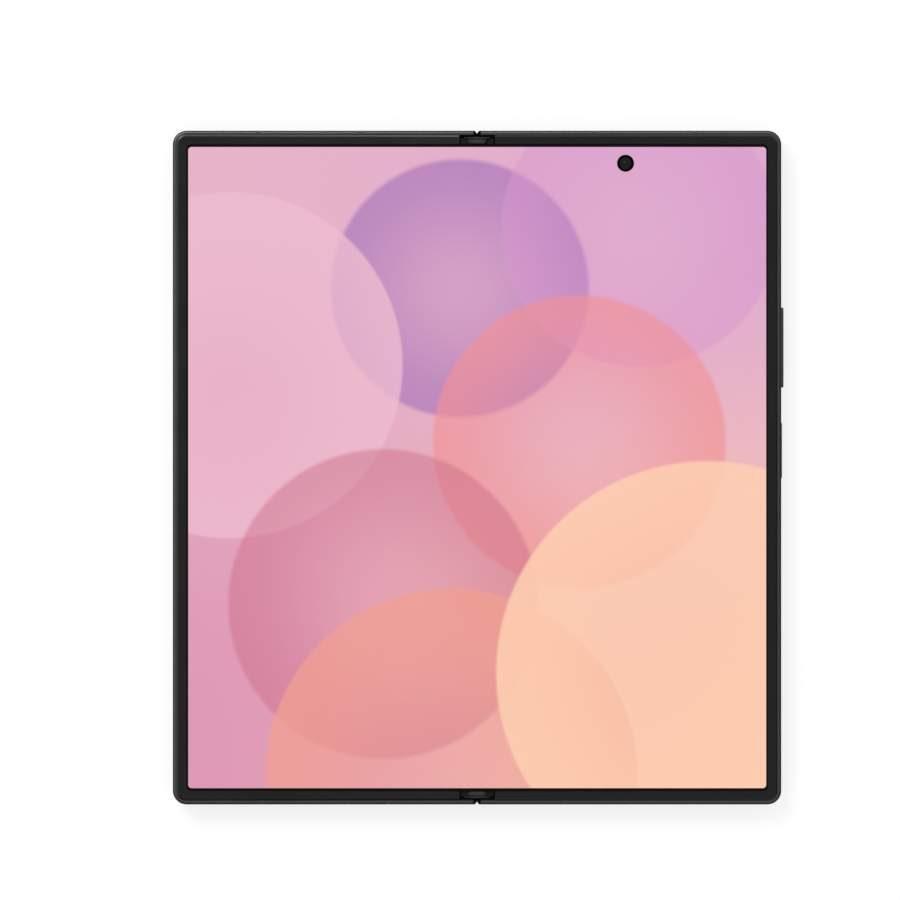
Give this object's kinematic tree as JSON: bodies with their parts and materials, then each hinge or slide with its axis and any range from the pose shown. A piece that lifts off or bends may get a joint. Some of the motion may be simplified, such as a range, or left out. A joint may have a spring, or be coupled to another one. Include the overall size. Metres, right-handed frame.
{
  "type": "foldable smartphone",
  "caption": "Book-style folding smartphone with a large flexible inner display, an outer display, a geared hinge spine, side keys and a card tray.",
  "frame": {"origin": "under the middle of the hinge, on the plane that the phone lies on (the faces of the rear lens rings)", "axes": "+X across the hinge towards the half with the side keys, +Y along the hinge towards the top edge, +Z out of the inner display"},
  "size_m": [0.1432, 0.158, 0.0065],
  "materials": {
    "main_frame": "bead-blasted dark graphite",
    "main_bezel": "fine matte",
    "display_right": "lit display under a clear film",
    "support_plate_right": "thin sheet",
    "rear_glass": "satin back glass, opaque",
    "camera_plateau": "satin graphite",
    "lens_rings": "turned, polished edge",
    "lens_glasses": "polished, dark",
    "camera_modules": "matte black",
    "flash_window": "ribbed clear lens",
    "inner_camera": "matte black",
    "inner_camera_window": "polished, dark",
    "battery_main": "foil pouch",
    "logic_board": "solder mask",
    "shield_cans": "sheet metal",
    "sub_board": "solder mask",
    "usb_shell": "drawn steel",
    "usb_tongue": "moulded black",
    "speaker_main": "moulded black",
    "charging_coil": "copper winding",
    "side_switches": "domed",
    "switch_bracket": "sheet metal",
    "antenna_breaks_main": "fine matte",
    "microphones": "small metal can",
    "sync_arms_main": "sintered steel",
    "arm_screws_main": "small screws",
    "board_screws": "small screws",
    "latch_magnets_main": "nickel-plated",
    "hinge_cover": "satin graphite",
    "hinge_brackets": "sintered steel",
    "hinge_shafts": "ground",
    "friction_discs": "spring steel",
    "bracket_screws": "small screws",
    "hinge_cap_top": "matte",
    "hinge_cap_bottom": "matte",
    "display_fold": "lit display under a clear film",
    "hinge_flex": "polyimide film",
    "cover_frame": "bead-blasted dark graphite",
    "cover_bezel": "fine matte",
    "display_left": "lit display under a clear film",
    "support_plate_left": "thin sheet",
    "cover_glass": "polished, black behind",
    "cover_panel": "dark panel",
    "cover_camera": "matte black",
    "battery_cover": "foil pouch",
    "cover_board": "solder mask",
    "earpiece_speaker": "moulded black",
    "vibration_motor": "drawn can",
    "sim_reader": "sheet metal",
    "antenna_breaks_cover": "fine matte",
    "sync_arms_cover": "sintered steel",
    "arm_screws_cover": "small screws",
    "latch_magnets_cover": "nickel-plated",
    "idler_gears_right": "sintered steel",
    "idler_gears_left": "sintered steel",
    "volume_rocker": "satin graphite",
    "power_key": "satin graphite",
    "sim_tray": "satin graphite"
  },
  "bodies": {
    "main_half": {"main_frame": "main_frame", "main_bezel": "main_bezel", "display_right": "display_right", "support_plate_right": "support_plate_right", "rear_glass": "rear_glass", "camera_plateau": "camera_plateau", "lens_rings": "lens_rings", "lens_glasses": "lens_glasses", "camera_modules": "camera_modules", "flash_window": "flash_window", "inner_camera": "inner_camera", "inner_camera_window": "inner_camera_window", "battery_main": "battery_main", "logic_board": "logic_board", "shield_cans": "shield_cans", "sub_board": "sub_board", "usb_shell": "usb_shell", "usb_tongue": "usb_tongue", "speaker_main": "speaker_main", "charging_coil": "charging_coil", "side_switches": "side_switches", "switch_bracket": "switch_bracket", "antenna_breaks_main": "antenna_breaks_main", "microphones": "microphones", "sync_arms_main": "sync_arms_main", "arm_screws_main": "arm_screws_main", "board_screws": "board_screws", "latch_magnets_main": "latch_magnets_main"},
    "spine": {"hinge_cover": "hinge_cover", "hinge_brackets": "hinge_brackets", "hinge_shafts": "hinge_shafts", "friction_discs": "friction_discs", "bracket_screws": "bracket_screws", "hinge_cap_top": "hinge_cap_top", "hinge_cap_bottom": "hinge_cap_bottom", "display_fold": "display_fold", "hinge_flex": "hinge_flex"},
    "cover_half": {"cover_frame": "cover_frame", "cover_bezel": "cover_bezel", "display_left": "display_left", "support_plate_left": "support_plate_left", "cover_glass": "cover_glass", "cover_panel": "cover_panel", "cover_camera": "cover_camera", "battery_cover": "battery_cover", "cover_board": "cover_board", "earpiece_speaker": "earpiece_speaker", "vibration_motor": "vibration_motor", "sim_reader": "sim_reader", "antenna_breaks_cover": "antenna_breaks_cover", "sync_arms_cover": "sync_arms_cover", "arm_screws_cover": "arm_screws_cover", "latch_magnets_cover": "latch_magnets_cover"},
    "idler_right": {"idler_gears_right": "idler_gears_right"},
    "idler_left": {"idler_gears_left": "idler_gears_left"},
    "volume_key": {"volume_rocker": "volume_rocker"},
    "power_button": {"power_key": "power_key"},
    "card_tray": {"sim_tray": "sim_tray"}
  },
  "joints": [
    {"name": "fold_right", "type": "hinge", "parent": "main_half", "child": "spine", "pos_m": [0.0024, 0, 0.0045], "axis": [0, 1, 0], "range_deg": [0, 90], "deforming": ["display_fold", "hinge_flex"]},
    {"name": "fold_left", "type": "hinge", "parent": "spine", "child": "cover_half", "pos_m": [-0.0024, 0, 0.0045], "axis": [0, 1, 0], "range_deg": [0, 90]},
    {"name": "idler_right_spin", "type": "hinge", "parent": "spine", "child": "idler_right", "pos_m": [0.0008, 0, 0.0045], "axis": [0, 1, 0], "range_deg": [0, 90]},
    {"name": "idler_left_spin", "type": "hinge", "parent": "spine", "child": "idler_left", "pos_m": [-0.0008, 0, 0.0045], "axis": [0, 1, 0], "range_deg": [-90, 0]},
    {"name": "volume_rock", "type": "hinge", "parent": "main_half", "child": "volume_key", "pos_m": [0.0691, 0.02815, 0.0039], "axis": [0, 0, 1], "range_deg": [-1.2, 1.2], "stiffness_Nm_per_rad": 0.5},
    {"name": "power_press", "type": "slide", "parent": "main_half", "child": "power_button", "axis": [-1, 0, 0], "range_m": [0, 0.00025], "stiffness_N_per_m": 4000, "springref_m": -0.0002},
    {"name": "sim_tray_slide", "type": "slide", "parent": "cover_half", "child": "card_tray", "axis": [0, -1, 0], "range_m": [0, 0.016]}
  ],
  "couplings": [
    {"joint": "fold_left", "follows": "fold_right", "ratio": 1},
    {"joint": "idler_right_spin", "follows": "fold_right", "ratio": 1},
    {"joint": "idler_left_spin", "follows": "fold_right", "ratio": -1}
  ]
}
